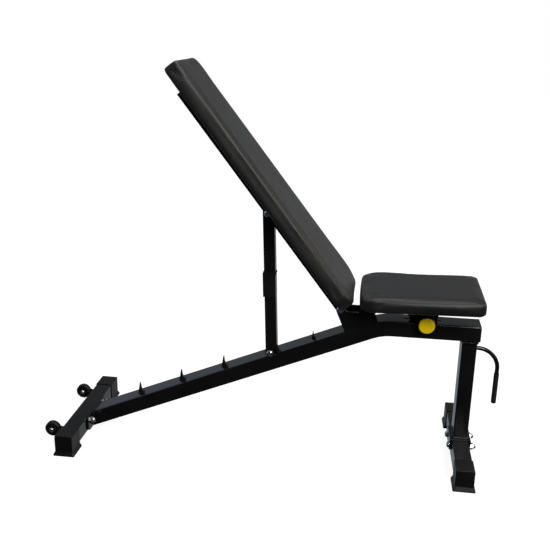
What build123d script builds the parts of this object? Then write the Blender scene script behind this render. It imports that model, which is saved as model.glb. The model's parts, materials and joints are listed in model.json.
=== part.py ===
from build123d import *
import os
from math import atan2, cos, degrees, hypot, radians, sin, sqrt, tan

# Adjustable weight bench: one bent main beam on two cross feet, a backrest that is propped by a
# strut on a ladder of catches, and a seat that tilts on a selector plate with a pop-pin.
# Millimetres. +X runs from the rear foot to the front foot, +Z is up, and the knob is on -Y.
# The origin is on the floor, under the middle of the bench.

# ---- Overall layout ----
REAR_REACH = 84.5           # rear foot's centre to the back of the wheels
FRONT_REACH = 1228.0        # rear foot's centre to the front of the lift handle
REAR_X = (REAR_REACH - FRONT_REACH) / 2
FRONT_X = REAR_X + 1134.0
FOOT_SPAN = 411.0           # over the sleeves of a cross foot

# ---- Square tube of the feet, flat tube of the leg ----
TUBE = 48.0
TUBE_WALL = 2.5
TUBE_ROUND = 3.0
SLEEVE_WALL = 2.0
SLEEVE_LENGTH = 60.0
SOLE_HEIGHT = 10.0
SOLE_FLARE = 5.0
SOLE_EDGE = 3.0
CROSS_Z = SOLE_HEIGHT + SLEEVE_WALL + TUBE / 2
CROSS_TOP = CROSS_Z + TUBE / 2
LEG_LONG = 42.0             # along the bench
LEG_WIDE = 60.0             # across it

# ---- Main beam: a flat tube, sloping at the rear and level under the seat ----
BEAM_WIDTH = 70.0
BEAM_HEIGHT = 45.0
BEAM_WALL = 2.5
BEAM_ROUND = 3.5
BEAM_TOP = 414.0
BEAM_CAP = 3.0
CAP_PLUG = 18.0
BEAM_FRONT_X = FRONT_X + 28.0
SLOPE = 22.7
SLOPE_Z = 45.5              # height of the sloping top face over the rear foot's centre
BEND_RADIUS = 160.0

# ---- Flanges, brackets and bolts ----
PLATE = 5.0
FLANGE_HALF = 78.0
REAR_BOLT_Y = 60.0
SADDLE_PLATE = 6.0
SADDLE_HALF = 42.0
SADDLE_DROP = 30.0
FRONT_BOLT_Y = 31.0
LEG_CAP = 4.0
M10 = 5.0                   # shank radius
BOLT_RAISE = 7.0            # foot bolts above the middle of the cross tubes
DOME_RADIUS = 9.5
DOME_HEIGHT = 7.5
HOLE_PLAY = 0.5
THREAD_PLAY = 0.05

# ---- Ladder catches on the sloping face ----
FIRST_CATCH = 178.0         # along the slope, from over the rear foot's centre
CATCH_PITCH = 140.5
FULL_CATCHES = 4
LAST_CATCH = 747.0
CATCH_HEIGHT = 30.5
CATCH_WIDTH = 8.0
FOOT_AT = 25.0              # foot bush centre past the back edge of its catch
HELD_BY = 3                 # the strut stands on this catch, counted from 0

# ---- Strut ----
BUSH_RADIUS = 7.5
BUSH_HALF = 38.0
BUSH_GAP = 0.3              # foot bush above the beam
STRUT_OUTER = 33.0
STRUT_WALL = 2.0
COLLAR_BOTTOM = 165.0       # along the strut, from the foot bush's centre
COLLAR_LENGTH = 71.0

# ---- Backrest, measured from its pivot ----
PIVOT_X = REAR_X + 769.0
PIVOT_Z = 439.0
BACK_ANGLE = 52.3           # above the horizontal, leaning to the rear
M12 = 6.0
STRUT_PIVOT_ALONG = 340.0
STRUT_PIVOT_OUT = -4.0
BACK_PAD_START = 7.0
BACK_PAD_LENGTH = 798.0
BACK_PAD_BACK = 18.0
BACK_PAD_THICK = 43.0
BACK_PAD_WIDE = 250.0
BACK_PAD_NARROW = 217.0
BOARD = 12.0
BOARD_INSET = 20.0
BACK_CORNERS = (45.0, 18.0)     # plan radii at the pivot end and at the far end
SEAT_CORNERS = (45.0, 20.0)
PAD_EDGE = 16.0
BRIDGE = 4.0                # thickness of the cross plates under the boards
RAIL_IN = 17.0
RAIL_OUT = 27.0
RAIL_DEPTH = 26.0
RAIL_WALL = 1.5
RAIL_START = -13.0
RAIL_END = 737.0

# ---- Seat, measured from its pivot ----
SEAT_PIVOT_X = REAR_X + 843.0
SEAT_PIVOT_Z = 454.0
SEAT_REST = 1.3             # slope of the seat at rest, front end up
SEAT_START = -20.5
SEAT_LENGTH = 334.5
SEAT_PAD_BACK = 16.5
SEAT_PAD_THICK = 38.0
SEAT_REAR_WIDTH = 261.0
SEAT_FRONT_WIDTH = 254.0
SEAT_TUBE_WIDTH = 40.0
SEAT_TUBE_DEPTH = 25.0
SEAT_TUBE_END = 290.0

# ---- Pivot gussets ----
GUSSET_OUT = 32.5
GUSSET_IN = GUSSET_OUT - PLATE
SLEEVE_HALF = GUSSET_IN - 0.4
GUSSET_EAR = 12.0
PIVOT_SLEEVE = 9.0
RUNNING = 0.05              # radial play of a turning joint

# ---- Selector plate and pop-pin ----
PIN_X = REAR_X + 1009.0
PIN_Z = 420.0
PIN_RADIUS = 4.5
SELECTOR_THICK = 6.0
SELECTOR_STEP = 6.0         # degrees of seat tilt from hole to hole
SELECTOR_HOLES = 3
CHEEK = 4.0
HOUSING_RADIUS = 10.0
HOUSING_LENGTH = 18.0
HOUSING_BORE = 7.5
PIN_COLLAR = 7.0
KNOB_RADIUS = 22.5
KNOB_FACE_Y = -71.0

# ---- Wheels ----
WHEEL_X = REAR_X - 62.0
WHEEL_Z = 42.0
WHEEL_Y = 127.0
WHEEL_RADIUS = 22.5
WHEEL_WIDTH = 18.0
WHEEL_BORE = 4.0
LUG = 2.5
LUG_GAP = 1.0

# ---- Lift handle ----
HANDLE_RADIUS = 6.0
GRIP_RADIUS = 7.25
HANDLE_X = REAR_X + FRONT_REACH - GRIP_RADIUS
HANDLE_TOP = 339.0
HANDLE_END = 172.0
HANDLE_BEND = 60.0
GRIP_LENGTH = 92.0

os.makedirs("parts", exist_ok=True)


def save(part, name):
    part.label = name
    export_step(part, f"parts/{name}.step")


def slope_point(along, out):
    """X and Z of a point measured along the sloping face and out of it."""
    angle = radians(SLOPE)
    x = REAR_X + along * cos(angle) - out * sin(angle)
    z = SLOPE_Z + along * sin(angle) + out * cos(angle)
    return x, z


def back_point(along, out):
    """X and Z of a point measured up the backrest from its pivot and out of its back."""
    angle = radians(BACK_ANGLE)
    x = PIVOT_X - along * cos(angle) + out * sin(angle)
    z = PIVOT_Z + along * sin(angle) + out * cos(angle)
    return x, z


FOOT_X, FOOT_Z = slope_point(FIRST_CATCH + HELD_BY * CATCH_PITCH + FOOT_AT, BUSH_RADIUS + BUSH_GAP)
TOP_X, TOP_Z = back_point(STRUT_PIVOT_ALONG, STRUT_PIVOT_OUT)
STRUT_LENGTH = hypot(TOP_X - FOOT_X, TOP_Z - FOOT_Z)

# Side planes: x along the part, y out of its working face, z across the bench.
SIDE = Plane.XZ
SLOPE_SIDE = Plane((REAR_X, 0, SLOPE_Z), x_dir=(cos(radians(SLOPE)), 0, sin(radians(SLOPE))), z_dir=(0, -1, 0))
BACK_SIDE = Plane(
    (PIVOT_X, 0, PIVOT_Z), x_dir=(-cos(radians(BACK_ANGLE)), 0, sin(radians(BACK_ANGLE))), z_dir=(0, 1, 0)
)
SEAT_SIDE = Plane(
    (SEAT_PIVOT_X, 0, SEAT_PIVOT_Z), x_dir=(cos(radians(SEAT_REST)), 0, sin(radians(SEAT_REST))), z_dir=(0, -1, 0)
)
STRUT_SIDE = Plane((FOOT_X, 0, FOOT_Z), x_dir=(TOP_X - FOOT_X, 0, TOP_Z - FOOT_Z), z_dir=(0, 1, 0))


def square_ring(size, wall, rounding):
    RectangleRounded(size, size, rounding)
    RectangleRounded(size - 2 * wall, size - 2 * wall, max(rounding - wall, 0.5), mode=Mode.SUBTRACT)


def along_x(x, z, facing):
    """A plane that faces along the bench; its x runs across the bench."""
    return Plane((x, 0, z), x_dir=(0, 1, 0), z_dir=(facing, 0, 0))


def along_y(x, y, z, facing):
    """A plane that faces across the bench; its x runs along the bench."""
    return Plane((x, y, z), x_dir=(1, 0, 0), z_dir=(0, facing, 0))


def tube_across(x, z, outer, inner, half):
    """A round sleeve that lies across the bench."""
    with BuildPart() as tube:
        with BuildSketch(along_y(x, 0, z, -1)):
            Circle(outer)
            Circle(inner, mode=Mode.SUBTRACT)
        extrude(amount=half, both=True)
    return tube.part


# ======== Feet and leg ========
def cross_foot_tube(centre_x, bolt_y):
    with BuildPart() as tube:
        with BuildSketch(along_y(centre_x, 0, CROSS_Z, -1)):
            square_ring(TUBE, TUBE_WALL, TUBE_ROUND)
        extrude(amount=FOOT_SPAN / 2 - SLEEVE_WALL, both=True)
        with BuildSketch(along_x(centre_x, CROSS_Z + BOLT_RAISE, 1)):
            with Locations((-bolt_y, 0), (bolt_y, 0)):
                Circle(M10 + HOLE_PLAY)
        extrude(amount=TUBE, both=True, mode=Mode.SUBTRACT)
    return tube.part


def foot_sleeve(centre_x, side):
    """Plastic end sleeve with a flared sole; side is -1 or 1."""
    outside = TUBE + 2 * SLEEVE_WALL
    mouth = along_y(centre_x, side * (FOOT_SPAN / 2 - SLEEVE_LENGTH), CROSS_Z, side)
    sole_y = side * (FOOT_SPAN - SLEEVE_LENGTH) / 2
    with BuildPart() as sleeve:
        with BuildSketch(mouth):
            RectangleRounded(outside, outside, TUBE_ROUND)
        extrude(amount=SLEEVE_LENGTH)
        fillet(sleeve.faces().sort_by(Axis.Y)[0 if side < 0 else -1].edges(), SLEEVE_WALL / 2)
        with BuildSketch(Plane((centre_x, sole_y, 0))):
            RectangleRounded(outside + 2 * SOLE_FLARE, SLEEVE_LENGTH + 2 * SOLE_FLARE, SOLE_EDGE)
        extrude(amount=SOLE_EDGE)
        with BuildSketch(Plane((centre_x, sole_y, SOLE_EDGE))):
            RectangleRounded(outside + 2 * SOLE_FLARE, SLEEVE_LENGTH + 2 * SOLE_FLARE, SOLE_EDGE)
        with BuildSketch(Plane((centre_x, sole_y, SOLE_HEIGHT + TUBE_ROUND))):
            RectangleRounded(outside, SLEEVE_LENGTH, SOLE_EDGE)
        loft()
        with BuildSketch(mouth):
            RectangleRounded(TUBE, TUBE, TUBE_ROUND)
        extrude(amount=SLEEVE_LENGTH - SLEEVE_WALL, mode=Mode.SUBTRACT)
        with BuildSketch(mouth):
            Rectangle(2 * TUBE, 3 * TUBE)
        extrude(amount=-TUBE, mode=Mode.SUBTRACT)
    return sleeve.part


save(cross_foot_tube(REAR_X, REAR_BOLT_Y), "rear_cross_tube")
save(cross_foot_tube(FRONT_X, FRONT_BOLT_Y), "front_cross_tube")
for place, foot_x in (("rear", REAR_X), ("front", FRONT_X)):
    for hand, side in (("right", -1), ("left", 1)):
        save(foot_sleeve(foot_x, side), f"{place}_foot_{hand}")

SADDLE_TOP = CROSS_TOP + SADDLE_PLATE
with BuildPart() as leg_saddle:
    with BuildSketch(SIDE):
        with Locations((FRONT_X, SADDLE_TOP - (SADDLE_DROP + SADDLE_PLATE) / 2)):
            Rectangle(TUBE + 2 * SADDLE_PLATE, SADDLE_DROP + SADDLE_PLATE)
        with Locations((FRONT_X, CROSS_TOP - TUBE)):
            Rectangle(TUBE, 2 * TUBE, mode=Mode.SUBTRACT)
    extrude(amount=SADDLE_HALF, both=True)
    fillet(leg_saddle.edges().filter_by(Axis.Y).group_by(Axis.Z)[-1], 3)
    fillet(leg_saddle.edges().filter_by(Axis.X).group_by(Axis.Z)[0], 7)
    with BuildSketch(along_x(FRONT_X, CROSS_Z + BOLT_RAISE, 1)):
        with Locations((-FRONT_BOLT_Y, 0), (FRONT_BOLT_Y, 0)):
            Circle(M10 + HOLE_PLAY)
    extrude(amount=TUBE, both=True, mode=Mode.SUBTRACT)
save(leg_saddle.part, "leg_saddle")

LEG_TOP = BEAM_TOP - BEAM_HEIGHT - LEG_CAP
with BuildPart() as leg:
    with BuildSketch(Plane((FRONT_X, 0, SADDLE_TOP))):
        RectangleRounded(LEG_LONG, LEG_WIDE, 4)
        RectangleRounded(LEG_LONG - 2 * TUBE_WALL, LEG_WIDE - 2 * TUBE_WALL, 1.5, mode=Mode.SUBTRACT)
    extrude(amount=LEG_TOP - SADDLE_TOP)
save(leg.part, "front_leg")

with BuildPart() as leg_cap_plate:
    with BuildSketch(Plane((FRONT_X, 0, LEG_TOP))):
        RectangleRounded(LEG_LONG + 4, LEG_WIDE + 20, 4)
    extrude(amount=LEG_CAP)
save(leg_cap_plate.part, "leg_top_plate")


# ======== Main beam ========
def beam_body(hollow):
    angle = radians(SLOPE)
    level = BEAM_TOP - BEAM_HEIGHT / 2
    start = slope_point(10, -BEAM_HEIGHT / 2)
    corner_x = start[0] + (level - start[1]) / tan(angle)
    with BuildPart() as body:
        with BuildLine(SIDE) as route:
            FilletPolyline(start, (corner_x, level), (BEAM_FRONT_X - BEAM_CAP, level), radius=BEND_RADIUS)
        with BuildSketch(Plane(route.line @ 0, x_dir=(0, 1, 0), z_dir=route.line % 0)):
            RectangleRounded(BEAM_WIDTH, BEAM_HEIGHT, BEAM_ROUND)
            if hollow:
                RectangleRounded(BEAM_WIDTH - 2 * BEAM_WALL, BEAM_HEIGHT - 2 * BEAM_WALL, 1, mode=Mode.SUBTRACT)
        sweep()
        split(bisect_by=Plane.YZ.offset(REAR_X + TUBE / 2 + PLATE), keep=Keep.TOP)
    return body.part


beam_solid = beam_body(False)
SLOT_TOP = (103.0, 210.0)      # past the seat pivot
SLOT_BOTTOM = (115.0, 190.0)
with BuildPart() as main_beam:
    add(beam_body(True))
    for slot, level in ((SLOT_TOP, BEAM_TOP), (SLOT_BOTTOM, BEAM_TOP - BEAM_HEIGHT)):
        with BuildSketch(Plane.XY.offset(level)):
            with Locations((SEAT_PIVOT_X + (slot[0] + slot[1]) / 2, 0)):
                SlotOverall(slot[1] - slot[0], SELECTOR_THICK + 3)
        extrude(amount=2 * BEAM_WALL, both=True, mode=Mode.SUBTRACT)
save(main_beam.part, "main_beam")

beam_end = along_x(BEAM_FRONT_X - BEAM_CAP, BEAM_TOP - BEAM_HEIGHT / 2, 1)
with BuildPart() as beam_cap:
    with BuildSketch(beam_end):
        RectangleRounded(BEAM_WIDTH, BEAM_HEIGHT, BEAM_ROUND)
    extrude(amount=BEAM_CAP)
    fillet(beam_cap.faces().sort_by(Axis.X)[-1].edges(), 1.5)
    with BuildSketch(beam_end):
        RectangleRounded(BEAM_WIDTH - 2 * BEAM_WALL, BEAM_HEIGHT - 2 * BEAM_WALL, 1)
        RectangleRounded(BEAM_WIDTH - 4 * BEAM_WALL, BEAM_HEIGHT - 4 * BEAM_WALL, 1, mode=Mode.SUBTRACT)
    extrude(amount=-CAP_PLUG)
save(beam_cap.part, "beam_front_cap")

with BuildPart() as rear_flange:
    with BuildSketch(along_x(REAR_X + TUBE / 2, CROSS_Z, 1)):
        RectangleRounded(2 * FLANGE_HALF, TUBE, 12)
        with Locations((-REAR_BOLT_Y, BOLT_RAISE), (REAR_BOLT_Y, BOLT_RAISE)):
            Circle(M10 + HOLE_PLAY, mode=Mode.SUBTRACT)
    extrude(amount=PLATE)
save(rear_flange.part, "rear_flange")


# ======== Bolts ========
def dome_bolts(plane, spots, grip, radius=M10, dome=DOME_RADIUS, height=DOME_HEIGHT):
    """Bolts with dome heads standing on the plane and cap nuts on the far side of the grip."""
    hexagon = 1.5 * radius
    nut = 3.2 * radius
    far_side = plane.offset(-grip)
    with BuildPart() as bolts:
        with BuildSketch(plane):
            with Locations(*spots):
                Circle(dome)
        extrude(amount=height)
        with BuildSketch(far_side):
            with Locations(*spots):
                RegularPolygon(1.7 * radius, 6, major_radius=False)
        extrude(amount=-hexagon)
        with BuildSketch(far_side):
            with Locations(*spots):
                Circle(1.45 * radius)
        extrude(amount=-nut)
        layers = bolts.faces().filter_by(GeomType.PLANE).group_by(Axis(plane.origin, plane.z_dir))
        fillet(layers[-1].edges(), 0.85 * height)
        fillet(layers[0].edges(), 1.3 * radius)
        with BuildSketch(far_side):
            with Locations(*spots):
                Circle(radius + THREAD_PLAY)
        extrude(amount=-2.2 * radius, mode=Mode.SUBTRACT)
        with BuildSketch(plane):
            with Locations(*spots):
                Circle(radius)
        extrude(amount=-grip - 2.2 * radius)
    return bolts.part


MIDDLE = ((0, 0),)
BOLT_Z = CROSS_Z + BOLT_RAISE
rear_spots = ((-REAR_BOLT_Y, 0), (REAR_BOLT_Y, 0))
front_spots = ((-FRONT_BOLT_Y, 0), (FRONT_BOLT_Y, 0))
saddle_face = TUBE / 2 + SADDLE_PLATE
save(dome_bolts(along_x(REAR_X - TUBE / 2, BOLT_Z, -1), rear_spots, TUBE + PLATE), "rear_foot_bolts")
save(dome_bolts(along_x(FRONT_X - saddle_face, BOLT_Z, -1), front_spots, 2 * saddle_face), "front_foot_bolts")


# ======== Ladder catches on the sloping face ========
def catches(starts, height, reach):
    """Shark-fin catches: a sloping back, a forward-leaning tip and a hollow for the foot bush."""
    tip = height * 0.64
    with BuildPart() as fins:
        for start in starts:
            with BuildSketch(SLOPE_SIDE):
                with BuildLine():
                    hollow_top = (start + tip * 0.84, height * 0.5)
                    hollow_foot = (start + reach * 0.86, 0)
                    Polyline((start, 0), (start + tip - 1.2, height), (start + tip + 0.8, height), hollow_top)
                    ThreePointArc(hollow_top, (start + tip * 0.875, height * 0.24), hollow_foot)
                    Line(hollow_foot, (start, 0))
                make_face()
            extrude(amount=CATCH_WIDTH / 2, both=True)
    return fins.part


full_starts = [FIRST_CATCH + step * CATCH_PITCH for step in range(FULL_CATCHES)]
save(catches(full_starts, CATCH_HEIGHT, FOOT_AT), "ladder_catches")
save(catches((LAST_CATCH,), 18.5, 18.0), "ladder_top_catch")


# ======== Pivot gussets ========
def gusset(side):
    """Plate that stands on the bend of the beam and holds both pivots."""
    with BuildPart() as plate:
        with BuildSketch(along_y(0, side * (GUSSET_IN + GUSSET_OUT) / 2, 0, -1)):
            with BuildLine():
                Polyline(
                    (REAR_X + 783, BEAM_TOP - 60), (REAR_X + 783, BEAM_TOP - 38),
                    (PIVOT_X - 11, PIVOT_Z - 4.8), (PIVOT_X, PIVOT_Z + 11.5),
                    (PIVOT_X + 12, PIVOT_Z + 1), (PIVOT_X + 20, PIVOT_Z - 5), (SEAT_PIVOT_X - 22, SEAT_PIVOT_Z - 20),
                    (SEAT_PIVOT_X - 12, SEAT_PIVOT_Z - 3), (SEAT_PIVOT_X, SEAT_PIVOT_Z + 11.5),
                    (SEAT_PIVOT_X + 12, SEAT_PIVOT_Z + 1),
                    (REAR_X + 868, SEAT_PIVOT_Z - 14), (REAR_X + 868, BEAM_TOP - 25),
                    (REAR_X + 783, BEAM_TOP - 60),
                )
            make_face()
            with Locations((PIVOT_X, PIVOT_Z), (SEAT_PIVOT_X, SEAT_PIVOT_Z)):
                Circle(GUSSET_EAR)
            with Locations((PIVOT_X, PIVOT_Z), (SEAT_PIVOT_X, SEAT_PIVOT_Z)):
                Circle(M12, mode=Mode.SUBTRACT)
        extrude(amount=PLATE / 2, both=True)
        add(beam_solid, mode=Mode.SUBTRACT)
    return plate.part


save(gusset(-1), "pivot_gusset_right")
save(gusset(1), "pivot_gusset_left")
for name, pivot_x, pivot_z in (("backrest", PIVOT_X, PIVOT_Z), ("seat", SEAT_PIVOT_X, SEAT_PIVOT_Z)):
    head_plane = along_y(pivot_x, -GUSSET_OUT, pivot_z, -1)
    save(dome_bolts(head_plane, MIDDLE, 2 * GUSSET_OUT, M12, 11.0, 8.0), f"{name}_pivot_bolt")
    save(tube_across(pivot_x, pivot_z, PIVOT_SLEEVE, M12 + RUNNING, SLEEVE_HALF), f"{name}_pivot_sleeve")


# ======== Backrest ========
RAIL_FRONT = BACK_PAD_BACK - BRIDGE
RAIL_MIDDLE = RAIL_FRONT - RAIL_DEPTH / 2


def back_rail(side):
    """One of the backrest's two flat tubes, rounded off about the pivot."""
    middle = side * (RAIL_IN + RAIL_OUT) / 2
    width = RAIL_OUT - RAIL_IN
    with BuildPart() as rail:
        with BuildSketch(BACK_SIDE.offset(middle)):
            with Locations((RAIL_END / 2, RAIL_MIDDLE)):
                Rectangle(RAIL_END, RAIL_DEPTH)
            with Locations((0, RAIL_MIDDLE)):
                Circle(RAIL_DEPTH / 2)
        extrude(amount=width / 2, both=True)
        fillet(rail.edges().filter_by(Axis((0, 0, 0), BACK_SIDE.x_dir)), RAIL_WALL)
        with BuildSketch(BACK_SIDE.offset(middle)):
            with Locations(((RAIL_END + RAIL_DEPTH / 2) / 2, RAIL_MIDDLE)):
                Rectangle(RAIL_END - RAIL_DEPTH / 2, RAIL_DEPTH - 2 * RAIL_WALL)
        extrude(amount=width / 2 - RAIL_WALL, both=True, mode=Mode.SUBTRACT)
        with BuildSketch(BACK_SIDE.offset(middle)):
            Circle(PIVOT_SLEEVE)
            with Locations((STRUT_PIVOT_ALONG, STRUT_PIVOT_OUT)):
                Circle(M10)
        extrude(amount=width, both=True, mode=Mode.SUBTRACT)
    return rail.part


save(back_rail(-1), "backrest_rail_right")
save(back_rail(1), "backrest_rail_left")

with BuildPart() as rail_caps:
    rail_ends = Plane(
        BACK_SIDE.from_local_coords((RAIL_END, RAIL_MIDDLE, 0)), x_dir=(0, 1, 0), z_dir=BACK_SIDE.x_dir
    )
    with BuildSketch(rail_ends):
        with Locations((-(RAIL_IN + RAIL_OUT) / 2, 0), ((RAIL_IN + RAIL_OUT) / 2, 0)):
            RectangleRounded(RAIL_OUT - RAIL_IN, RAIL_DEPTH, RAIL_WALL)
    extrude(amount=3)
save(rail_caps.part, "backrest_rail_caps")

BRIDGE_SPOTS = (120.0, 640.0)
BRIDGE_HALF = 80.0
BRIDGE_SCREW = 62.0
BRIDGE_LONG = 40.0
SCREW = 3.0                 # shank radius


def facing_pad(side_plane, along, out, outward=1):
    """A plane parallel to a pad's back, with its x across the bench."""
    normal = side_plane.y_dir * outward
    return Plane(side_plane.from_local_coords((along, out, 0)), x_dir=(0, 1, 0), z_dir=normal)


def cross_plates(side_plane, spots, half, screw, back):
    with BuildPart() as plates:
        for spot in spots:
            with BuildSketch(facing_pad(side_plane, spot, back - BRIDGE)):
                RectangleRounded(2 * half, BRIDGE_LONG, 6)
                with Locations((-screw, 0), (screw, 0)):
                    Circle(SCREW + 0.2, mode=Mode.SUBTRACT)
            extrude(amount=BRIDGE)
    return plates.part


def pad_screws(side_plane, spots, screw, back):
    with BuildPart() as screws:
        for spot in spots:
            with BuildSketch(facing_pad(side_plane, spot, back - BRIDGE, -1)):
                with Locations((-screw, 0), (screw, 0)):
                    Circle(2.2 * SCREW)
            extrude(amount=1.2 * SCREW)
            with BuildSketch(facing_pad(side_plane, spot, back - BRIDGE, -1)):
                with Locations((-screw, 0), (screw, 0)):
                    Circle(SCREW)
            extrude(amount=-BRIDGE - 8)
    return screws.part


save(cross_plates(BACK_SIDE, BRIDGE_SPOTS, BRIDGE_HALF, BRIDGE_SCREW, BACK_PAD_BACK), "backrest_cross_plates")
save(pad_screws(BACK_SIDE, BRIDGE_SPOTS, BRIDGE_SCREW, BACK_PAD_BACK), "backrest_pad_screws")


def taper_corners(start, length, wide, narrow, inset=0.0):
    """Corners of a pad's plan: x along it from the pivot, y across."""
    end = start + length - inset
    near = start + inset
    return (near, inset - wide / 2), (end, inset - narrow / 2), (end, narrow / 2 - inset), (near, wide / 2 - inset)


def plan_plane(side_plane, out):
    """Plane parallel to a pad's back, at a distance out of the pivot."""
    return Plane(side_plane.from_local_coords((0, out, 0)), x_dir=side_plane.x_dir, z_dir=side_plane.y_dir)


def pad(side_plane, plan, back, thick, corners):
    """Upholstered pad: a rounded block with a pocket for its board in the back."""
    with BuildPart() as cushion:
        with BuildSketch(plan_plane(side_plane, back)) as outline:
            Polygon(*taper_corners(*plan), align=None)
            for vertices, corner in zip(outline.vertices().group_by(Axis.X), corners):
                fillet(vertices, corner)
        extrude(amount=thick)
        top = cushion.faces().sort_by(Axis(cushion.part.center(), side_plane.y_dir))[-1]
        fillet(top.edges(), PAD_EDGE)
        with BuildSketch(plan_plane(side_plane, back)) as pocket:
            Polygon(*taper_corners(*plan, BOARD_INSET), align=None)
            for vertices, corner in zip(pocket.vertices().group_by(Axis.X), corners):
                fillet(vertices, corner / 2)
        extrude(amount=BOARD, mode=Mode.SUBTRACT)
    return cushion.part


def board(side_plane, plan, back, spots, screw, corners):
    with BuildPart() as panel:
        with BuildSketch(plan_plane(side_plane, back)) as outline:
            Polygon(*taper_corners(*plan, BOARD_INSET), align=None)
            for vertices, corner in zip(outline.vertices().group_by(Axis.X), corners):
                fillet(vertices, corner / 2)
            for spot in spots:
                with Locations((spot, -screw), (spot, screw)):
                    Circle(SCREW, mode=Mode.SUBTRACT)
        extrude(amount=BOARD)
    return panel.part


back_plan = (BACK_PAD_START, BACK_PAD_LENGTH, BACK_PAD_WIDE, BACK_PAD_NARROW)
save(pad(BACK_SIDE, back_plan, BACK_PAD_BACK, BACK_PAD_THICK, BACK_CORNERS), "backrest_pad")
save(board(BACK_SIDE, back_plan, BACK_PAD_BACK, BRIDGE_SPOTS, BRIDGE_SCREW, BACK_CORNERS), "backrest_board")

# ======== Strut ========
COLLAR_TOP = COLLAR_BOTTOM + COLLAR_LENGTH
LOCK_ALONG = COLLAR_BOTTOM + COLLAR_LENGTH / 2
LOCK_RADIUS = 2.0
TOP_BUSH = 7.0
FORK_LENGTH = 70.0


def up_strut(along):
    """A plane square to the strut, with its x across the bench."""
    return Plane(STRUT_SIDE.from_local_coords((along, 0, 0)), x_dir=(0, 1, 0), z_dir=STRUT_SIDE.x_dir)


with BuildPart() as strut_tube:
    with BuildSketch(up_strut(-STRUT_OUTER / 2)):
        square_ring(STRUT_OUTER, STRUT_WALL, 3)
    extrude(amount=STRUT_LENGTH + STRUT_OUTER)
    with BuildSketch(STRUT_SIDE):
        with Locations((STRUT_LENGTH / 2 - STRUT_OUTER, 0)):
            Rectangle(STRUT_LENGTH + 2 * STRUT_OUTER, STRUT_OUTER)
        with Locations((STRUT_LENGTH, 0)):
            Circle(STRUT_OUTER / 2)
            Circle(TOP_BUSH, mode=Mode.SUBTRACT)
        with Locations((LOCK_ALONG, 0)):
            Circle(LOCK_RADIUS, mode=Mode.SUBTRACT)
        Circle(BUSH_RADIUS, mode=Mode.SUBTRACT)
    extrude(amount=STRUT_OUTER, both=True, mode=Mode.INTERSECT)
    with BuildSketch(STRUT_SIDE):
        with Locations((0, 5 - STRUT_OUTER / 2)):
            Rectangle(FORK_LENGTH, STRUT_OUTER)
    extrude(amount=CATCH_WIDTH / 2 + 1.5, both=True, mode=Mode.SUBTRACT)
    split(bisect_by=Plane(SLOPE_SIDE.from_local_coords((0, 2, 0)), z_dir=SLOPE_SIDE.y_dir), keep=Keep.TOP)
save(strut_tube.part, "strut_tube")

COLLAR_SIDE = 1.5
COLLAR_BACK = 3.8
COLLAR_LIP = 5.0
with BuildPart() as collar:
    with BuildSketch(up_strut(COLLAR_BOTTOM)):
        with Locations((0, COLLAR_BACK / 2)):
            RectangleRounded(STRUT_OUTER + 2 * COLLAR_SIDE, STRUT_OUTER + COLLAR_BACK, 2)
    extrude(amount=COLLAR_LENGTH)
    with BuildSketch(up_strut(COLLAR_TOP - COLLAR_LIP)):
        with Locations((0, (COLLAR_BACK - COLLAR_SIDE) / 2)):
            RectangleRounded(STRUT_OUTER + 2 * COLLAR_SIDE, STRUT_OUTER + COLLAR_SIDE + COLLAR_BACK, 2)
    extrude(amount=COLLAR_LIP)
    with BuildSketch(up_strut(COLLAR_BOTTOM)):
        RectangleRounded(STRUT_OUTER, STRUT_OUTER, 3)
        with Locations((0, -STRUT_OUTER / 2)):
            Rectangle(STRUT_OUTER, 6)
    extrude(amount=COLLAR_LENGTH - COLLAR_LIP, mode=Mode.SUBTRACT)
    with BuildSketch(up_strut(COLLAR_TOP - COLLAR_LIP)):
        RectangleRounded(STRUT_OUTER, STRUT_OUTER, 3)
    extrude(amount=COLLAR_LIP, mode=Mode.SUBTRACT)
    with BuildSketch(STRUT_SIDE):
        with Locations((LOCK_ALONG, 0)):
            Circle(LOCK_RADIUS)
    extrude(amount=STRUT_OUTER, both=True, mode=Mode.SUBTRACT)
save(collar.part, "strut_collar")
save(tube_across(FOOT_X, FOOT_Z, BUSH_RADIUS, M10 + RUNNING, BUSH_HALF), "strut_foot_bush")
save(tube_across(TOP_X, TOP_Z, TOP_BUSH, M10 + RUNNING, STRUT_OUTER / 2), "strut_top_bush")
for name, bolt_x, bolt_z, half in (("foot", FOOT_X, FOOT_Z, BUSH_HALF), ("pivot", TOP_X, TOP_Z, RAIL_OUT)):
    head_plane = along_y(bolt_x, -half, bolt_z, -1)
    save(dome_bolts(head_plane, MIDDLE, 2 * half, M10, 10.5, 8.0), f"strut_{name}_bolt")

# ======== Seat ========
SEAT_TUBE_TOP = SEAT_PAD_BACK - BRIDGE
SEAT_TUBE_START = -12.0
SEAT_TUBE_WALL = 2.0
with BuildPart() as seat_tube:
    with BuildSketch(
        Plane(
            SEAT_SIDE.from_local_coords((SEAT_TUBE_START, SEAT_TUBE_TOP - SEAT_TUBE_DEPTH / 2, 0)),
            x_dir=(0, 1, 0), z_dir=SEAT_SIDE.x_dir,
        )
    ):
        RectangleRounded(SEAT_TUBE_WIDTH, SEAT_TUBE_DEPTH, 3)
        RectangleRounded(
            SEAT_TUBE_WIDTH - 2 * SEAT_TUBE_WALL, SEAT_TUBE_DEPTH - 2 * SEAT_TUBE_WALL, 1, mode=Mode.SUBTRACT
        )
    extrude(amount=SEAT_TUBE_END - SEAT_TUBE_START)
    with BuildSketch(SEAT_SIDE):
        Circle(PIVOT_SLEEVE)
    extrude(amount=BEAM_WIDTH, both=True, mode=Mode.SUBTRACT)
save(seat_tube.part, "seat_tube")

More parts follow.
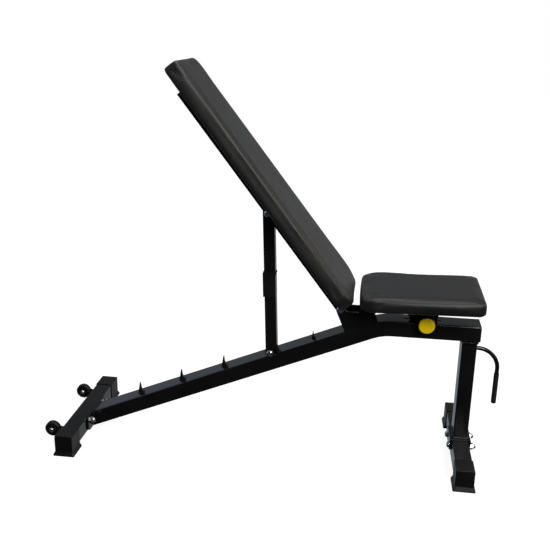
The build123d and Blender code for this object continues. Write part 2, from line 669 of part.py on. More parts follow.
SEAT_BRIDGES = (60.0, 230.0)
SEAT_SCREW = 70.0
seat_plan = (SEAT_START, SEAT_LENGTH, SEAT_REAR_WIDTH, SEAT_FRONT_WIDTH)
save(cross_plates(SEAT_SIDE, SEAT_BRIDGES, BRIDGE_HALF + 5, SEAT_SCREW, SEAT_PAD_BACK), "seat_cross_plates")
save(pad_screws(SEAT_SIDE, SEAT_BRIDGES, SEAT_SCREW, SEAT_PAD_BACK), "seat_pad_screws")
save(pad(SEAT_SIDE, seat_plan, SEAT_PAD_BACK, SEAT_PAD_THICK, SEAT_CORNERS), "seat_pad")
save(board(SEAT_SIDE, seat_plan, SEAT_PAD_BACK, SEAT_BRIDGES, SEAT_SCREW, SEAT_CORNERS), "seat_board")

# Selector plate: a toothless sector about the seat pivot, with one hole for each seat position.
pin_radius_arm = hypot(PIN_X - SEAT_PIVOT_X, PIN_Z - SEAT_PIVOT_Z)
pin_angle = degrees(atan2(PIN_Z - SEAT_PIVOT_Z, PIN_X - SEAT_PIVOT_X)) - SEAT_REST


def on_arc(radius, angle):
    return radius * cos(radians(angle)), radius * sin(radians(angle))


last_hole = pin_angle - SELECTOR_STEP * SELECTOR_HOLES
with BuildPart() as selector:
    with BuildSketch(SEAT_SIDE):
        with BuildLine():
            top_in = (106, SEAT_TUBE_TOP - SEAT_TUBE_DEPTH)
            top_out = (204, SEAT_TUBE_TOP - SEAT_TUBE_DEPTH)
            low_in = on_arc(pin_radius_arm - 11, last_hole + 3)
            low_out = on_arc(pin_radius_arm + 11, last_hole - 1)
            Line(top_in, low_in)
            ThreePointArc(low_in, on_arc(pin_radius_arm, last_hole - 3.7), low_out)
            ThreePointArc(low_out, on_arc(196, last_hole / 2 - 4), top_out)
            Line(top_out, top_in)
        make_face()
        for hole in range(SELECTOR_HOLES + 1):
            with Locations(on_arc(pin_radius_arm, pin_angle - hole * SELECTOR_STEP)):
                Circle(PIN_RADIUS + HOLE_PLAY, mode=Mode.SUBTRACT)
    extrude(amount=SELECTOR_THICK / 2, both=True)
save(selector.part, "seat_selector_plate")

# ======== Pop-pin ========
CHEEK_FACE = -BEAM_WIDTH / 2
with BuildPart() as cheek:
    with BuildSketch(along_y(PIN_X, CHEEK_FACE, PIN_Z, -1)):
        with Locations((0, -6)):
            RectangleRounded(27, 48, 6)
        Circle(PIN_RADIUS + 0.3, mode=Mode.SUBTRACT)
    extrude(amount=CHEEK)
save(cheek.part, "pop_pin_cheek")

HOUSING_FACE = CHEEK_FACE - CHEEK
HOUSING_END = HOUSING_FACE - HOUSING_LENGTH
HOUSING_WALL = 2.0
with BuildPart() as housing:
    with BuildSketch(along_y(PIN_X, HOUSING_FACE, PIN_Z, -1)):
        Circle(HOUSING_RADIUS)
    extrude(amount=HOUSING_LENGTH)
    fillet(housing.faces().sort_by(Axis.Y)[0].edges(), 1)
    with BuildSketch(along_y(PIN_X, HOUSING_FACE, PIN_Z, -1)):
        Circle(HOUSING_BORE)
    extrude(amount=HOUSING_LENGTH - HOUSING_WALL, mode=Mode.SUBTRACT)
    with BuildSketch(along_y(PIN_X, HOUSING_FACE, PIN_Z, -1)):
        Circle(PIN_RADIUS + 0.3)
    extrude(amount=HOUSING_LENGTH, mode=Mode.SUBTRACT)
save(housing.part, "pop_pin_housing")

WIRE = 0.6
COIL_RADIUS = 6.2
COIL_LENGTH = 4.0
coil_start = HOUSING_END + HOUSING_WALL + WIRE
with BuildPart() as spring:
    with BuildLine() as coil:
        Helix(COIL_LENGTH / 3, COIL_LENGTH, COIL_RADIUS, center=(PIN_X, coil_start, PIN_Z), direction=(0, 1, 0))
    with BuildSketch(Plane(coil.line @ 0, z_dir=coil.line % 0)):
        Circle(WIRE)
    sweep(is_frenet=True)
save(spring.part, "pop_pin_spring")

KNOB_BACK = HOUSING_END - 1.0
PIN_TIP = -SELECTOR_THICK / 2 - 0.6
COLLAR_WIDTH = 1.8
with BuildPart() as pop_pin:
    with BuildSketch(along_y(PIN_X, PIN_TIP, PIN_Z, -1)):
        Circle(PIN_RADIUS)
    extrude(amount=PIN_TIP - KNOB_BACK + 6)
    chamfer(pop_pin.faces().sort_by(Axis.Y)[-1].edges(), 1)
    with BuildSketch(along_y(PIN_X, HOUSING_FACE - 0.4, PIN_Z, -1)):
        Circle(PIN_COLLAR)
    extrude(amount=COLLAR_WIDTH)
save(pop_pin.part, "pop_pin")

SKIRT = 6.0
with BuildPart() as knob_skirt:
    with BuildSketch(along_y(PIN_X, KNOB_BACK, PIN_Z, -1)):
        Circle(KNOB_RADIUS + 2)
        Circle(PIN_RADIUS, mode=Mode.SUBTRACT)
    extrude(amount=SKIRT)
    fillet(knob_skirt.edges().filter_by(GeomType.CIRCLE).group_by(SortBy.RADIUS)[-1], 1.5)
save(knob_skirt.part, "knob_skirt")

with BuildPart() as knob:
    with BuildSketch(along_y(PIN_X, KNOB_BACK - SKIRT, PIN_Z, -1)):
        Circle(KNOB_RADIUS)
    extrude(amount=KNOB_BACK - SKIRT - KNOB_FACE_Y)
    fillet(knob.faces().sort_by(Axis.Y)[0].edges(), 4)
save(knob.part, "pull_knob")


# ======== Lift handle ========
with BuildPart() as handle:
    with BuildLine(SIDE) as route:
        FilletPolyline(
            (FRONT_X + LEG_LONG / 2, HANDLE_TOP), (HANDLE_X, HANDLE_TOP), (HANDLE_X, HANDLE_END + 3), radius=HANDLE_BEND
        )
    with BuildSketch(Plane(route.line @ 0, x_dir=(0, 1, 0), z_dir=route.line % 0)):
        Circle(HANDLE_RADIUS)
    sweep()
save(handle.part, "lift_handle")

with BuildPart() as grip:
    with BuildSketch(Plane((HANDLE_X, 0, HANDLE_END))):
        Circle(GRIP_RADIUS)
    extrude(amount=GRIP_LENGTH)
    fillet(grip.faces().sort_by(Axis.Z)[0].edges(), 3)
    with BuildSketch(Plane((HANDLE_X, 0, HANDLE_END + 3))):
        Circle(HANDLE_RADIUS)
    extrude(amount=GRIP_LENGTH, mode=Mode.SUBTRACT)
save(grip.part, "handle_grip")


# ======== Wheels ========
LUG_Y = WHEEL_WIDTH / 2 + LUG_GAP
for hand, side in (("right", -1), ("left", 1)):
    wheel_y = side * WHEEL_Y
    with BuildPart() as bracket:
        for lug in (-1, 1):
            with BuildSketch(along_y(0, wheel_y + lug * LUG_Y, 0, -1)):
                with BuildLine():
                    tube_face = REAR_X - TUBE / 2
                    Polyline(
                        (tube_face, WHEEL_Z - 18), (tube_face, WHEEL_Z - 1), (WHEEL_X, WHEEL_Z + 7),
                        (WHEEL_X, WHEEL_Z - 7), (tube_face, WHEEL_Z - 18),
                    )
                make_face()
                with Locations((WHEEL_X, WHEEL_Z)):
                    Circle(7)
                    Circle(WHEEL_BORE, mode=Mode.SUBTRACT)
            extrude(amount=-lug * LUG)
        with BuildSketch(along_x(REAR_X - TUBE / 2, WHEEL_Z - 9.5, -1)):
            with Locations((wheel_y, 0)):
                Rectangle(2 * LUG_Y, 17)
        extrude(amount=LUG)
    save(bracket.part, f"wheel_bracket_{hand}")

    hub_plane = along_y(WHEEL_X, wheel_y, WHEEL_Z, -1)
    with BuildPart() as hub:
        with BuildSketch(hub_plane):
            Circle(WHEEL_RADIUS - 6)
            Circle(WHEEL_BORE + RUNNING, mode=Mode.SUBTRACT)
        extrude(amount=WHEEL_WIDTH / 2 - 2.5, both=True)
        with BuildSketch(hub_plane):
            Circle(WHEEL_RADIUS - 12)
            Circle(WHEEL_BORE + RUNNING, mode=Mode.SUBTRACT)
        extrude(amount=WHEEL_WIDTH / 2, both=True)
    save(hub.part, f"wheel_hub_{hand}")

    with BuildPart() as tyre:
        with BuildSketch(hub_plane):
            Circle(WHEEL_RADIUS)
            Circle(WHEEL_RADIUS - 6, mode=Mode.SUBTRACT)
        extrude(amount=WHEEL_WIDTH / 2, both=True)
        fillet(tyre.edges().filter_by(GeomType.CIRCLE).group_by(SortBy.RADIUS)[-1], 4)
    save(tyre.part, f"wheel_tyre_{hand}")

    grip_width = 2 * (LUG_Y + LUG)
    head_plane = along_y(WHEEL_X, wheel_y - LUG_Y - LUG, WHEEL_Z, -1)
    save(dome_bolts(head_plane, MIDDLE, grip_width, WHEEL_BORE, 7.0, 5.0), f"wheel_axle_{hand}")
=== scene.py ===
"""Adjustable weight bench: looks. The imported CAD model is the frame; metres; +Z up, knob on -Y."""
import json
import math

import bmesh
import bpy
from mathutils import Matrix, Vector


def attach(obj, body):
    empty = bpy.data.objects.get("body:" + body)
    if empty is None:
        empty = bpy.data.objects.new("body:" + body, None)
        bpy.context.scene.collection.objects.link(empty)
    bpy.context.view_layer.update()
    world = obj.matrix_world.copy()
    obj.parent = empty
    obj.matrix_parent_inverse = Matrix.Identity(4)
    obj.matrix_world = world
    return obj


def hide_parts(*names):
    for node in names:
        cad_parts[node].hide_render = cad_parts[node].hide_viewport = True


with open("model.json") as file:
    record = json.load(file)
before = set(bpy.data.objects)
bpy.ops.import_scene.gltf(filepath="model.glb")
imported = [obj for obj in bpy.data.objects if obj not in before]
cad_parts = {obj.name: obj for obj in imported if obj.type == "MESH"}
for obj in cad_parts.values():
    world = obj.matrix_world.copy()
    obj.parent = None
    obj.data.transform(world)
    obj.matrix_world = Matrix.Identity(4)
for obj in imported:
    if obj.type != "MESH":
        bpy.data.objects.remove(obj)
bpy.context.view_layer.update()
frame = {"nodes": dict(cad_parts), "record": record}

# ------------------------------------------------------------------ the bench's own lines
REAR_X = -0.57175
SLOPE = math.radians(22.7)
SLOPE_Z = 0.0455
BACK_ANGLE = math.radians(52.3)
PIVOT = Vector((REAR_X + 0.769, 0.0, 0.439))
SEAT_PIVOT = Vector((REAR_X + 0.843, 0.0, 0.454))
SEAT_REST = math.radians(1.3)
FIRST_CATCH = 0.178         # along the sloping face
CATCH_PITCH = 0.1405
FULL_CATCHES = 4
LEG_X = REAR_X + 1.134

# A pad's frame: x up or along the pad from its pivot, y across, z out of its face.
BACK_FRAME = Matrix((
    (-math.cos(BACK_ANGLE), 0.0, math.sin(BACK_ANGLE), PIVOT.x),
    (0.0, -1.0, 0.0, 0.0),
    (math.sin(BACK_ANGLE), 0.0, math.cos(BACK_ANGLE), PIVOT.z),
    (0.0, 0.0, 0.0, 1.0),
))
SEAT_FRAME = Matrix((
    (math.cos(SEAT_REST), 0.0, -math.sin(SEAT_REST), SEAT_PIVOT.x),
    (0.0, 1.0, 0.0, 0.0),
    (math.sin(SEAT_REST), 0.0, math.cos(SEAT_REST), SEAT_PIVOT.z),
    (0.0, 0.0, 0.0, 1.0),
))


def slope_point(along, across, out):
    """A point on the beam's sloping face."""
    x = REAR_X + along * math.cos(SLOPE) - out * math.sin(SLOPE)
    z = SLOPE_Z + along * math.sin(SLOPE) + out * math.cos(SLOPE)
    return Vector((x, across, z))


# ------------------------------------------------------------------ materials
class Nodes:
    """A material's node tree, written as calls."""

    def __init__(self, name):
        self.material = bpy.data.materials.new(name)
        self.material.use_nodes = True
        self.tree = self.material.node_tree
        self.shader = self.tree.nodes["Principled BSDF"]

    def add(self, kind, **values):
        node = self.tree.nodes.new(kind)
        for key, value in values.items():
            setattr(node, key, value)
        return node

    def link(self, source, target):
        self.tree.links.new(source, target)

    def coords(self):
        return self.add("ShaderNodeTexCoord").outputs["Object"]

    def noise(self, scale, detail=3.0, roughness=0.55, coords=None):
        node = self.add("ShaderNodeTexNoise")
        node.inputs["Scale"].default_value = scale
        node.inputs["Detail"].default_value = detail
        node.inputs["Roughness"].default_value = roughness
        self.link(coords or self.coords(), node.inputs["Vector"])
        return node.outputs["Fac"]

    def voronoi(self, scale, feature="F1", randomness=1.0):
        node = self.add("ShaderNodeTexVoronoi", feature=feature)
        node.inputs["Scale"].default_value = scale
        node.inputs["Randomness"].default_value = randomness
        self.link(self.coords(), node.inputs["Vector"])
        return node.outputs["Distance"]

    def spread(self, value, low, high, start=0.3, end=0.7):
        node = self.add("ShaderNodeMapRange")
        node.inputs["From Min"].default_value = start
        node.inputs["From Max"].default_value = end
        node.inputs["To Min"].default_value = low
        node.inputs["To Max"].default_value = high
        self.link(value, node.inputs["Value"])
        return node.outputs["Result"]

    def ramp(self, value, dark, light, start=0.3, end=0.7):
        node = self.add("ShaderNodeValToRGB")
        node.color_ramp.elements[0].position = start
        node.color_ramp.elements[0].color = (*dark, 1.0)
        node.color_ramp.elements[1].position = end
        node.color_ramp.elements[1].color = (*light, 1.0)
        self.link(value, node.inputs["Fac"])
        return node.outputs["Color"]

    def math(self, operation, first, second):
        node = self.add("ShaderNodeMath", operation=operation)
        for socket, value in zip(node.inputs, (first, second)):
            if isinstance(value, (int, float)):
                socket.default_value = value
            else:
                self.link(value, socket)
        return node.outputs["Value"]

    def bump(self, height, distance, strength=1.0, below=None):
        node = self.add("ShaderNodeBump")
        node.inputs["Distance"].default_value = distance
        node.inputs["Strength"].default_value = strength
        self.link(height, node.inputs["Height"])
        if below is not None:
            self.link(below, node.inputs["Normal"])
        return node.outputs["Normal"]

    def soft_edges(self, radius):
        node = self.add("ShaderNodeBevel", samples=4)
        node.inputs["Radius"].default_value = radius
        return node.outputs["Normal"]

    def set(self, **values):
        for key, value in values.items():
            socket = self.shader.inputs[key.replace("_", " ")]
            if isinstance(value, bpy.types.NodeSocket):
                self.link(value, socket)
            else:
                socket.default_value = value
        return self.material


def powder_coat():
    n = Nodes("powder_coat")
    peel = n.noise(900.0, 2.0)
    waves = n.noise(55.0, 2.0)
    dust = n.noise(14.0, 5.0)
    normal = n.bump(peel, 0.00006, 0.5, n.bump(waves, 0.0002, 0.12, n.soft_edges(0.0009)))
    return n.set(
        Base_Color=n.ramp(dust, (0.0045, 0.0046, 0.0053), (0.0075, 0.0076, 0.0084)),
        Roughness=n.spread(dust, 0.14, 0.24), Normal=normal,
    )


def vinyl():
    n = Nodes("black_vinyl")
    cells = n.voronoi(620.0, "DISTANCE_TO_EDGE")
    creases = n.spread(cells, 0.0, 1.0, 0.0, 0.16)
    pores = n.noise(1800.0, 2.0)
    wear = n.noise(9.0, 4.0)
    folds = n.noise(22.0, 2.0)
    normal = n.bump(folds, 0.0012, 0.12)
    normal = n.bump(pores, 0.00004, 0.35, normal)
    normal = n.bump(creases, 0.00012, 0.55, normal)
    return n.set(
        Base_Color=n.ramp(wear, (0.0078, 0.0080, 0.0088), (0.0120, 0.0119, 0.0120)),
        Roughness=n.spread(wear, 0.38, 0.48), Normal=normal,
        Sheen_Weight=0.03, Sheen_Roughness=0.4, Specular_IOR_Level=0.42,
    )


def moulded(name, dark, light, rough, grain, depth, ribs=0.0):
    """Plastic or rubber with a fine grain, and with rings round it where it is ribbed."""
    n = Nodes(name)
    speckle = n.noise(grain, 3.0)
    patches = n.noise(18.0, 4.0)
    normal = n.soft_edges(0.0006)
    if ribs:
        split = n.add("ShaderNodeSeparateXYZ")
        n.link(n.coords(), split.inputs["Vector"])
        wave = n.math("SINE", n.math("MULTIPLY", split.outputs["Z"], 2 * math.pi / ribs), 0.0)
        normal = n.bump(wave, 0.0004, 0.8, normal)
    normal = n.bump(speckle, depth, 0.6, normal)
    return n.set(
        Base_Color=n.ramp(patches, dark, light), Roughness=n.spread(patches, rough, rough + 0.12),
        Normal=normal, Specular_IOR_Level=0.32,
    )


def plated(name, color, rough, scale):
    n = Nodes(name)
    marks = n.noise(scale, 4.0)
    film = n.noise(60.0, 3.0)
    return n.set(
        Base_Color=n.ramp(film, tuple(c * 0.86 for c in color), color), Metallic=1.0,
        Roughness=n.spread(film, rough, rough + 0.14), Normal=n.bump(marks, 0.00004, 0.35),
    )


def board_stain():
    n = Nodes("stained_board")
    grain = n.add("ShaderNodeMapping")
    grain.inputs["Scale"].default_value = (1.0, 9.0, 1.0)
    n.link(n.coords(), grain.inputs["Vector"])
    fibres = n.noise(40.0, 6.0, 0.7, grain.outputs["Vector"])
    return n.set(
        Base_Color=n.ramp(fibres, (0.020, 0.018, 0.016), (0.040, 0.036, 0.031)),
        Roughness=n.spread(fibres, 0.6, 0.8), Normal=n.bump(fibres, 0.0003, 0.5),
    )


COATS = {
    "powder_coat": powder_coat(),
    "upholstery": vinyl(),
    "black_plastic": moulded(
        "black_plastic", (0.0045, 0.0045, 0.0052), (0.0085, 0.0085, 0.0092),
        rough=0.36, grain=1500.0, depth=0.00007,
    ),
    "yellow_plastic": moulded(
        "yellow_plastic", (0.84, 0.61, 0.0015), (0.90, 0.67, 0.0025),
        rough=0.36, grain=700.0, depth=0.00003,
    ),
    "grip_rubber": moulded(
        "grip_rubber", (0.006, 0.006, 0.007), (0.012, 0.012, 0.013),
        rough=0.50, grain=1200.0, depth=0.00010, ribs=0.006,
    ),
    "wheel_tyre": moulded(
        "wheel_tyre", (0.007, 0.007, 0.008), (0.014, 0.014, 0.015),
        rough=0.42, grain=1000.0, depth=0.00012,
    ),
    "bright_steel": plated("bright_steel", (0.74, 0.74, 0.75), 0.16, 500.0),
    "spring_steel": plated("spring_steel", (0.45, 0.45, 0.46), 0.30, 700.0),
    "plywood": board_stain(),
}


def coat(piece, slot):
    """Gives a piece the material of a slot, and no other."""
    piece.data.materials.clear()
    piece.data.materials.append(COATS[slot])


for entry in frame["record"]["subparts"]:
    node = frame["nodes"].get(entry["node"])
    if node is not None:
        for place in node.material_slots:
            place.material = COATS[entry["material_slot"]]


# ------------------------------------------------------------------ mesh helpers
def add_piece(name, verts, faces, slot, body, smooth=True):
    """A mesh of its own that rides on a body."""
    mesh = bpy.data.meshes.new(name)
    mesh.from_pydata([tuple(v) for v in verts], [], faces)
    mesh.validate()
    if smooth:
        mesh.polygons.foreach_set("use_smooth", [True] * len(mesh.polygons))
    piece = bpy.data.objects.new(name, mesh)
    bpy.context.collection.objects.link(piece)
    coat(piece, slot)
    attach(piece, body)


def rounded_plan(corners, radii, steps):
    """A closed outline: the corners of a convex plan, each replaced by an arc."""
    points = []
    count = len(corners)
    for index in range(count):
        corner = Vector(corners[index])
        before = (Vector(corners[index - 1]) - corner).normalized()
        after = (Vector(corners[(index + 1) % count]) - corner).normalized()
        half = before.angle(after) / 2
        radius = radii[index]
        reach = radius / math.tan(half)
        centre = corner + (before + after).normalized() * (radius / math.sin(half))
        start = corner + before * reach - centre
        end = corner + after * reach - centre
        for step in range(steps + 1):
            mixed = start.lerp(end, step / steps)
            points.append(centre + mixed.normalized() * radius)
    return points


def taper_corners(start, length, wide, narrow, inset=0.0):
    """Corners of a pad's plan: x along it from the pivot, y across."""
    near, end = start + inset, start + length - inset
    near_half, end_half = wide / 2 - inset, narrow / 2 - inset
    return [(near, -near_half), (end, -end_half), (end, end_half), (near, near_half)]


def skin(rings, around):
    """Faces that join equal rings of points into a tube with closed ends."""
    faces = []
    for row in range(rings - 1):
        for k in range(around):
            here, after = row * around + k, row * around + (k + 1) % around
            faces.append((here, after, after + around, here + around))
    faces.append(tuple(reversed(range(around))))
    faces.append(tuple((rings - 1) * around + k for k in range(around)))
    return faces


def weld(name, path, radius, body, closed=False, pitch=0.0035):
    """A weld bead: a tube along a path whose radius swells and narrows like stacked ripples."""
    points = [Vector(p) for p in path]
    if closed:
        points.append(points[0])
    dense = []
    for a, b in zip(points, points[1:]):
        count = max(2, int((b - a).length / (pitch / 4)))
        dense += [(a.lerp(b, k / count), (b - a).normalized()) for k in range(count)]
    dense.append((points[-1], (points[-1] - points[-2]).normalized()))
    verts, sides = [], 8
    for index, (point, heading) in enumerate(dense):
        ripple = 1.0 + 0.16 * abs(math.sin(math.pi * index / 4.0)) + 0.05 * math.sin(index * 0.37)
        if not closed and index in (0, len(dense) - 1):
            ripple = 0.45
        side = heading.orthogonal().normalized()
        other = heading.cross(side).normalized()
        for k in range(sides):
            turn = 2 * math.pi * k / sides
            verts.append(point + (side * math.cos(turn) + other * math.sin(turn)) * radius * ripple)
    add_piece(name, verts, skin(len(dense), sides), "powder_coat", body)


# ------------------------------------------------------------------ camera, floor and light
camera_data = bpy.data.cameras.new("camera")
camera_data.lens = 51.50
camera_data.sensor_width = 36.0
camera_data.clip_end = 50.0
camera = bpy.data.objects.new("camera", camera_data)
heading, tilt, roll = (math.radians(degrees) for degrees in (7.144, 72.265, 1.213))
turn = Matrix.Rotation(heading, 4, "Z") @ Matrix.Rotation(tilt, 4, "X") @ Matrix.Rotation(roll, 4, "Z")
camera.matrix_world = Matrix.Translation((0.2719, -2.1198, 1.2031)) @ turn
bpy.context.collection.objects.link(camera)
bpy.context.scene.camera = camera

floor_mesh = bpy.data.meshes.new("floor")
floor_mesh.from_pydata([(-14, -14, 0), (14, -14, 0), (14, 14, 0), (-14, 14, 0)], [], [(0, 1, 2, 3)])
floor = bpy.data.objects.new("floor", floor_mesh)
bpy.context.collection.objects.link(floor)
floor_nodes = Nodes("pale_floor")
reach = floor_nodes.add("ShaderNodeVectorMath", operation="LENGTH")
floor_nodes.link(floor_nodes.coords(), reach.inputs[0])
# The floor glows white far off and a little less within about a metre of the bench: painted shade round the
# bench, where the lamps' shadows fall on it.
floor_nodes.set(
    Base_Color=(0.22, 0.22, 0.22, 1.0), Roughness=0.9, Specular_IOR_Level=0.0,
    Emission_Color=(1.0, 1.0, 1.0, 1.0),
    Emission_Strength=floor_nodes.spread(reach.outputs["Value"], 0.92, 1.0, 0.9, 1.7),
)
floor_mesh.materials.append(floor_nodes.material)
floor.visible_diffuse = False
floor.visible_glossy = False

world = bpy.data.worlds.new("studio")
world.use_nodes = True


def world_light(tree):
    """White to the camera; to the bench, a bright backdrop behind it that fades upwards and to the front."""
    links, new = tree.links, tree.nodes.new
    split = new("ShaderNodeSeparateXYZ")
    links.new(new("ShaderNodeTexCoord").outputs["Generated"], split.inputs["Vector"])
    factors = []
    spans = (("Y", -0.1, 0.9, 0.0, 1.0), ("Z", 0.02, 0.42, 1.0, 0.32), ("X", -1.0, 1.0, 0.0, 1.0))
    for axis, low, high, first, last in spans:
        node = new("ShaderNodeMapRange")
        for key, value in (("From Min", low), ("From Max", high), ("To Min", first), ("To Max", last)):
            node.inputs[key].default_value = value
        links.new(split.outputs[axis], node.inputs["Value"])
        factors.append(node.outputs["Result"])
    product = new("ShaderNodeMath")
    product.operation = "MULTIPLY"
    links.new(factors[0], product.inputs[0])
    links.new(factors[1], product.inputs[1])
    level = new("ShaderNodeMapRange")
    level.inputs["To Min"].default_value = 0.03
    level.inputs["To Max"].default_value = 0.40
    links.new(product.outputs["Value"], level.inputs["Value"])
    tint = new("ShaderNodeValToRGB")
    tint.color_ramp.elements[0].color = (0.68, 0.83, 1.0, 1.0)
    tint.color_ramp.elements[1].color = (1.0, 0.95, 0.88, 1.0)
    links.new(factors[2], tint.inputs["Fac"])
    shine = new("ShaderNodeBackground")
    links.new(tint.outputs["Color"], shine.inputs["Color"])
    links.new(level.outputs["Result"], shine.inputs["Strength"])
    plain_white = new("ShaderNodeBackground")
    plain_white.inputs["Color"].default_value = (1.0, 1.0, 1.0, 1.0)
    mix = new("ShaderNodeMixShader")
    links.new(new("ShaderNodeLightPath").outputs["Is Camera Ray"], mix.inputs[0])
    links.new(shine.outputs[0], mix.inputs[1])
    links.new(plain_white.outputs[0], mix.inputs[2])
    links.new(mix.outputs[0], tree.nodes["World Output"].inputs["Surface"])


world_light(world.node_tree)
bpy.context.scene.world = world
bpy.context.scene.view_settings.view_transform = "Standard"


def softbox(name, place, target, size, power, color=(1.0, 1.0, 1.0)):
    data = bpy.data.lights.new(name, "AREA")
    data.shape = "RECTANGLE"
    data.size, data.size_y = size
    data.energy = power
    data.color = color
    lamp = bpy.data.objects.new(name, data)
    lamp.location = place
    lamp.rotation_euler = (Vector(target) - Vector(place)).to_track_quat("-Z", "Y").to_euler()
    bpy.context.collection.objects.link(lamp)


softbox("key", (1.5, -2.6, 2.4), (0.1, 0.0, 0.4), (1.4, 1.4), 88.0, (1.0, 0.97, 0.93))
softbox("top", (0.1, 0.3, 2.9), (0.0, 0.0, 0.4), (2.4, 1.6), 42.0)
softbox("left", (-2.8, -1.0, 1.6), (0.0, 0.0, 0.4), (1.2, 1.6), 7.0, (0.82, 0.91, 1.0))
softbox("right", (3.0, 0.8, 1.7), (0.1, 0.0, 0.5), (1.4, 1.8), 24.0, (1.0, 0.95, 0.88))

# ------------------------------------------------------------------ pads
# A pad's plan: start, length, width at the pivot, width at the far end, back, corner radii at the two ends.
PAD_VOXEL = 0.005
POCKET_INSET = 0.0205       # the board's pocket in the back
POCKET_DEPTH = 0.0105
RIM = 0.0025                # bevel of the rim at the back
LEAST_CORNER = 0.006
HELD_HEIGHT = 0.013         # the vinyl is held fast up to here
SWELL_CAP = 0.003
SWELL_FRAMES = 14
PRESSURE = 4.0
EDGE = 0.009                # rolled edge of the face
STAPLE_INSET = 0.0125
STAPLE_PITCH = 0.038
STAPLE_HALF_LENGTH = 0.0055
STAPLE_HALF_WIDTH = 0.0006


def pad_block(plan, thick):
    """A pad's starting shape in its own frame: pocket for the board, rim, sides and rolled top edge."""
    start, length, wide, narrow, back, corners = plan
    corner_radii = corners + corners[::-1]
    profile = [(POCKET_INSET, POCKET_DEPTH), (POCKET_INSET, 0.0004), (0.0120, 0.0), (0.0030, 0.0), (0.0, RIM)]
    profile += [(0.0, RIM + (thick - EDGE - RIM) * k / 5) for k in range(1, 6)]
    for k in range(1, 7):
        bend = math.pi / 2 * k / 6
        profile.append((EDGE * (1 - math.cos(bend)), thick - EDGE + EDGE * math.sin(bend)))
    rings = []
    for inset, height in profile:
        radii = [max(radius - inset * 0.8, LEAST_CORNER) for radius in corner_radii]
        outline = rounded_plan(taper_corners(start, length, wide, narrow, inset), radii, 8)
        rings.append([Vector((p.x, p.y, back + height)) for p in outline])
    mesh = bpy.data.meshes.new("pad_block")
    mesh.from_pydata([point for ring in rings for point in ring], [], skin(len(rings), len(rings[0])))
    return mesh


def remeshed(mesh):
    """The mesh on an object of its own, with a voxel remesh."""
    block = bpy.data.objects.new("pad_work", mesh)
    bpy.context.collection.objects.link(block)
    modifier = block.modifiers.new("remesh", "REMESH")
    modifier.mode = "VOXEL"
    modifier.voxel_size = PAD_VOXEL
    return block


def applied(piece):
    """The piece's mesh with its modifiers applied, at the current frame."""
    graph = bpy.context.evaluated_depsgraph_get()
    return bpy.data.meshes.new_from_object(piece.evaluated_get(graph))


def inflate(block, held_to):
    """Cloth under pressure, held fast below a height; no point moves further than the cap."""
    rest = applied(block)
    block.modifiers.clear()
    block.data = rest
    group = block.vertex_groups.new(name="pin")
    held = [vertex.index for vertex in rest.vertices if vertex.co.z < held_to]
    group.add(held, 1.0, "REPLACE")
    cloth = block.modifiers.new("cloth", "CLOTH")
    cloth.settings.vertex_group_mass = "pin"
    cloth.settings.quality = 6
    cloth.settings.mass = 0.35
    cloth.settings.tension_stiffness = 40
    cloth.settings.compression_stiffness = 40
    cloth.settings.shear_stiffness = 20
    cloth.settings.bending_stiffness = 14
    cloth.settings.use_pressure = True
    cloth.settings.uniform_pressure_force = PRESSURE
    cloth.settings.effector_weights.gravity = 0
    cloth.collision_settings.use_collision = False
    cloth.collision_settings.use_self_collision = False
    cloth.point_cache.frame_start = 1
    cloth.point_cache.frame_end = SWELL_FRAMES
    for number in range(1, SWELL_FRAMES + 1):
        bpy.context.scene.frame_set(number)
    swollen = applied(block)
    bpy.context.scene.frame_set(1)
    block.modifiers.clear()
    for before, after in zip(rest.vertices, swollen.vertices):
        move = after.co - before.co
        if move.length > SWELL_CAP:
            after.co = before.co + move.normalized() * SWELL_CAP
    return swollen


def fit(mesh, plan, thick):
    """Stretch a pad in its own frame to its full length, width and height."""
    start, length, wide, narrow, back, corners = plan
    wanted = ((start, start + length), (-wide / 2, wide / 2), (back, back + thick))
    for axis, (low, high) in enumerate(wanted):
        values = [vertex.co[axis] for vertex in mesh.vertices]
        least, scale = min(values), (high - low) / (max(values) - min(values))
        for vertex in mesh.vertices:
            vertex.co[axis] = low + (vertex.co[axis] - least) * scale


def finish_pad(name, mesh, plan, thick, matrix, body, node):
    """Smooths, fits and places a pad, which stands for its CAD node."""
    pad = bpy.data.objects.new(name, mesh)
    bpy.context.collection.objects.link(pad)
    smooth = pad.modifiers.new("smooth", "SMOOTH")
    smooth.factor = 0.5
    smooth.iterations = 5
    finer = pad.modifiers.new("finer", "SUBSURF")
    finer.levels = finer.render_levels = 1
    pad.data = applied(pad)
    pad.modifiers.clear()
    fit(pad.data, plan, thick)
    pad.data.transform(matrix)
    pad.data.polygons.foreach_set("use_smooth", [True] * len(pad.data.polygons))
    coat(pad, "upholstery")
    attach(pad, body)
    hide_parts(node)


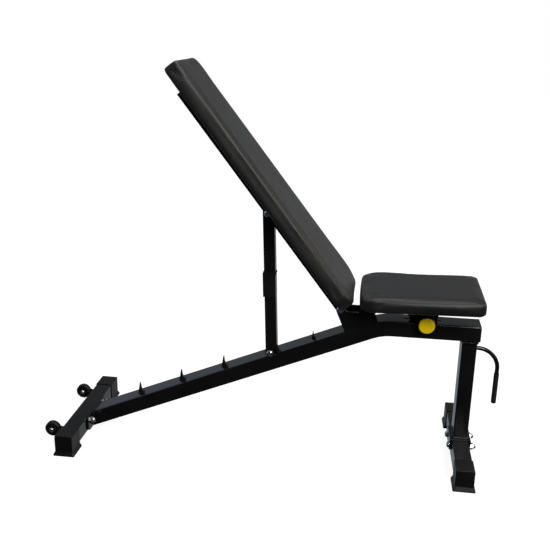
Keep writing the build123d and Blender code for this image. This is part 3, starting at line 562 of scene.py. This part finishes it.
def staples(name, plan, matrix, body):
    """Staples that hold the vinyl to the back of the pad, all round its rim."""
    start, length, wide, narrow, back, corners = plan
    radii = [max(radius - 0.009, LEAST_CORNER) for radius in corners + corners[::-1]]
    outline = rounded_plan(taper_corners(start, length, wide, narrow, STAPLE_INSET), radii, 6)
    verts, faces, carried = [], [], 0.02
    for a, b in zip(outline, outline[1:] + outline[:1]):
        span = (b - a).length
        heading = (b - a).normalized() if span > 1e-6 else None
        while heading is not None and carried < span:
            middle = a + heading * carried
            turn = 0.25 * math.sin(len(verts) * 1.7)
            along = Vector((heading.x * math.cos(turn) - heading.y * math.sin(turn),
                            heading.x * math.sin(turn) + heading.y * math.cos(turn)))
            side = Vector((-along.y, along.x)) * STAPLE_HALF_WIDTH
            along *= STAPLE_HALF_LENGTH
            base = len(verts)
            for height in (back + 0.002, back - 0.0007):
                for corner in (-along - side, along - side, along + side, -along + side):
                    verts.append(Vector((middle.x + corner.x, middle.y + corner.y, height)))
            faces += [(base + 7, base + 6, base + 5, base + 4), (base, base + 1, base + 2, base + 3)]
            faces += [(base + k, base + 4 + k, base + 4 + (k + 1) % 4, base + (k + 1) % 4) for k in range(4)]
            carried += STAPLE_PITCH
        carried -= span
    add_piece(name, [matrix @ v for v in verts], faces, "bright_steel", body, False)


def cushion(name, plan, thick, matrix, body, node):
    """A swollen vinyl pad and its staples."""
    back = plan[4]
    block = remeshed(pad_block(plan, thick))
    swollen = inflate(block, back + HELD_HEIGHT)
    bpy.data.objects.remove(block)
    finish_pad(name, swollen, plan, thick, matrix, body, node)
    staples(name + "_staples", plan, matrix, body)


# The vinyl stands a little proud of the block it is drawn over.
back_plan = (0.0065, 0.8010, 0.2510, 0.2185, 0.0172, (0.045, 0.018))
seat_plan = (-0.0208, 0.3382, 0.2625, 0.2565, 0.0150, (0.045, 0.020))
cushion("backrest_cushion", back_plan, 0.0462, BACK_FRAME, "backrest", "backrest_pad")
cushion("seat_cushion", seat_plan, 0.0420, SEAT_FRAME, "seat", "seat_pad")

# ------------------------------------------------------------------ welds

SIDES = ((-1, "right"), (1, "left"))


def around_leg(z):
    """A closed path round the leg at a height."""
    half_x, half_y = 0.0213, 0.0303
    corners = ((-half_x, -half_y), (half_x, -half_y), (half_x, half_y), (-half_x, half_y))
    return [(LEG_X + x, y, z) for x, y in corners]


weld("leg_foot_weld", around_leg(0.0665), 0.0026, "frame", True)
weld("leg_head_weld", around_leg(0.3645), 0.0022, "frame", True)
for step in range(FULL_CATCHES):
    along = FIRST_CATCH + step * CATCH_PITCH
    for side, hand in SIDES:
        ends = [slope_point(along + reach, side * 0.0045, 0.0005) for reach in (0.001, 0.0205)]
        weld(f"catch_weld_{step}_{hand}", ends, 0.0018, "frame")
for side, hand in SIDES:
    rim = [(REAR_X + 0.0295, side * 0.0355, z) for z in (0.016, 0.0545)]
    weld(f"flange_weld_{hand}", rim, 0.0024, "frame")
weld("flange_weld_top", [(REAR_X + 0.0298, y, 0.0585) for y in (-0.031, 0.031)], 0.0024, "frame")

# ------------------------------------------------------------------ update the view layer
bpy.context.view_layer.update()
